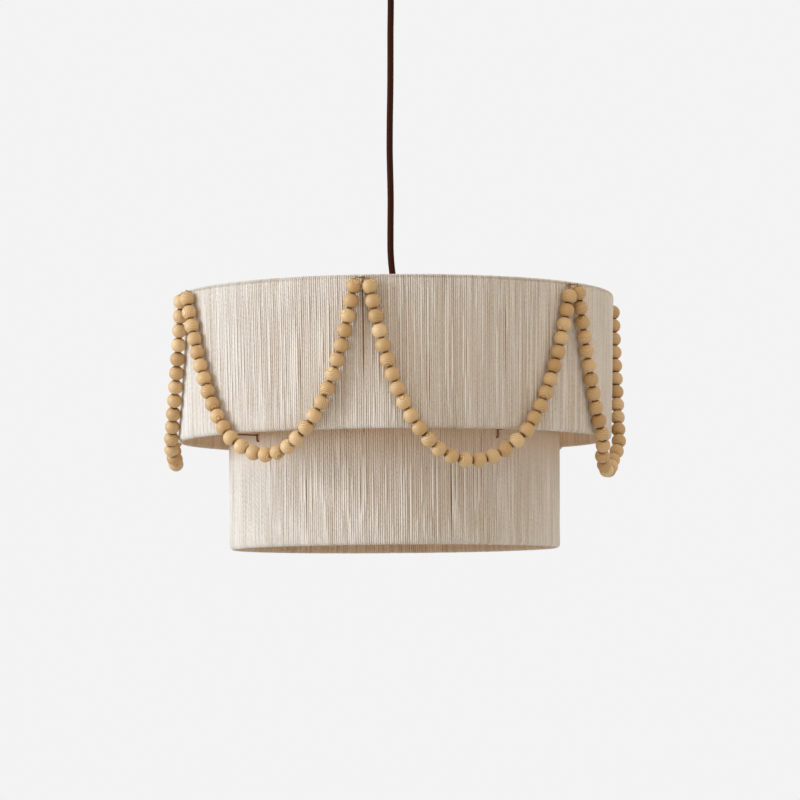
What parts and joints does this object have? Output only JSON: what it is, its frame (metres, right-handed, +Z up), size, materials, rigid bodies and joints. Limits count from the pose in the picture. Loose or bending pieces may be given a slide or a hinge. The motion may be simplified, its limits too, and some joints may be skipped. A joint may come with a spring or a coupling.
{
  "type": "beaded drum chandelier",
  "caption": "Two-tier drum pendant: a small yarn-wrapped shade hung inside a larger one, garlands of wooden beads round the top, and a lamp cluster on a ceiling cord.",
  "frame": {"origin": "middle of the ceiling bracket's top face, which lies on the ceiling; the lamp hangs below it", "axes": "+Z up, out of the ceiling face; -Y towards the side that the picture shows; +X to the right in the picture"},
  "size_m": [0.6376, 0.6473, 0.8187],
  "materials": {
    "zinc_steel": "zinc plated, dull",
    "bronze_metal": "dark bronze, satin",
    "frame_paint": "brown paint, satin",
    "copper_wire": "insulated copper wire",
    "cord_cloth": "braided cloth, dark brown",
    "white_plastic": "matte",
    "black_plastic": "satin",
    "opal_glass": "opal white",
    "drum_yarn": "spun yarn wound side by side, fuzzy",
    "bead_wood": "bare turned wood, fine grain",
    "bead_twine": "twisted twine, tan"
  },
  "bodies": {
    "ceiling_fitting": {"ceiling_bracket": "zinc_steel", "canopy": "bronze_metal", "canopy_screw_1": "bronze_metal", "canopy_screw_2": "bronze_metal", "canopy_grip": "bronze_metal", "canopy_grip_nut": "zinc_steel", "terminal_block": "white_plastic", "canopy_lead": "copper_wire"},
    "cord": {"pendant_cord": "cord_cloth"},
    "lamp": {"hub_grip": "bronze_metal", "hub_stem": "zinc_steel", "hub_nut": "zinc_steel", "spider": "frame_paint", "cluster_body": "bronze_metal", "cluster_nut": "zinc_steel", "cluster_cap": "bronze_metal", "lamp_arm_1": "bronze_metal", "lamp_arm_2": "bronze_metal", "lamp_arm_3": "bronze_metal", "lamp_lead_1": "copper_wire", "lamp_lead_2": "copper_wire", "lamp_lead_3": "copper_wire", "lampholder_1": "black_plastic", "lampholder_2": "black_plastic", "lampholder_3": "black_plastic", "upper_frame": "frame_paint", "lower_frame": "frame_paint", "upper_wrap": "drum_yarn", "lower_wrap": "drum_yarn", "tier_link_1": "frame_paint", "tier_link_2": "frame_paint", "tier_link_3": "frame_paint", "tier_link_4": "frame_paint", "garland_tie_1": "bead_twine", "garland_tie_2": "bead_twine", "garland_tie_3": "bead_twine", "garland_tie_4": "bead_twine", "garland_tie_5": "bead_twine", "garland_tie_6": "bead_twine"},
    "garland_1": {"garland_beads_1": "bead_wood", "garland_string_1": "bead_twine"},
    "garland_2": {"garland_beads_2": "bead_wood", "garland_string_2": "bead_twine"},
    "garland_3": {"garland_beads_3": "bead_wood", "garland_string_3": "bead_twine"},
    "garland_4": {"garland_beads_4": "bead_wood", "garland_string_4": "bead_twine"},
    "garland_5": {"garland_beads_5": "bead_wood", "garland_string_5": "bead_twine"},
    "garland_6": {"garland_beads_6": "bead_wood", "garland_string_6": "bead_twine"},
    "screwed_bulb_1": {"bulb_1": "opal_glass"},
    "screwed_bulb_2": {"bulb_2": "opal_glass"},
    "screwed_bulb_3": {"bulb_3": "opal_glass"}
  },
  "joints": [
    {"name": "cord_swing", "type": "hinge", "parent": "ceiling_fitting", "child": "cord", "pos_m": [0, 0, -0.041], "axis": [0, 1, 0], "range_deg": [-12, 12]},
    {"name": "lamp_turn", "type": "hinge", "parent": "cord", "child": "lamp", "pos_m": [0, 0, -0.454], "axis": [0, 0, 1], "range_deg": [-90, 90]},
    {"name": "garland_1_swing", "type": "hinge", "parent": "lamp", "child": "garland_1", "pos_m": [-0.27471, -0.13817, -0.4738], "axis": [-0.8151, 0.5793, 0], "range_deg": [0, 70]},
    {"name": "garland_2_swing", "type": "hinge", "parent": "lamp", "child": "garland_2", "pos_m": [-0.04014, -0.30487, -0.4738], "axis": [-0.9336, -0.3584, 0], "range_deg": [0, 70]},
    {"name": "garland_3_swing", "type": "hinge", "parent": "lamp", "child": "garland_3", "pos_m": [0.23382, -0.19971, -0.4738], "axis": [-0.2334, -0.9724, 0], "range_deg": [0, 70]},
    {"name": "garland_4_swing", "type": "hinge", "parent": "lamp", "child": "garland_4", "pos_m": [0.299, 0.07178, -0.4738], "axis": [0.7518, -0.6593, 0], "range_deg": [0, 70]},
    {"name": "garland_5_swing", "type": "hinge", "parent": "lamp", "child": "garland_5", "pos_m": [0.03214, 0.30582, -0.4738], "axis": [0.8725, 0.4886, 0], "range_deg": [0, 70]},
    {"name": "garland_6_swing", "type": "hinge", "parent": "lamp", "child": "garland_6", "pos_m": [-0.27754, 0.13238, -0.4738], "axis": [-0.0105, 0.9999, 0], "range_deg": [0, 70]},
    {"name": "bulb_1_turn", "type": "hinge", "parent": "lamp", "child": "screwed_bulb_1", "pos_m": [0.039, -0.06755, -0.58], "axis": [0, 0, 1], "range_deg": [-1080, 0]},
    {"name": "bulb_2_turn", "type": "hinge", "parent": "lamp", "child": "screwed_bulb_2", "pos_m": [0.039, 0.06755, -0.58], "axis": [0, 0, 1], "range_deg": [-1080, 0]},
    {"name": "bulb_3_turn", "type": "hinge", "parent": "lamp", "child": "screwed_bulb_3", "pos_m": [-0.078, 0, -0.58], "axis": [0, 0, 1], "range_deg": [-1080, 0]}
  ]
}
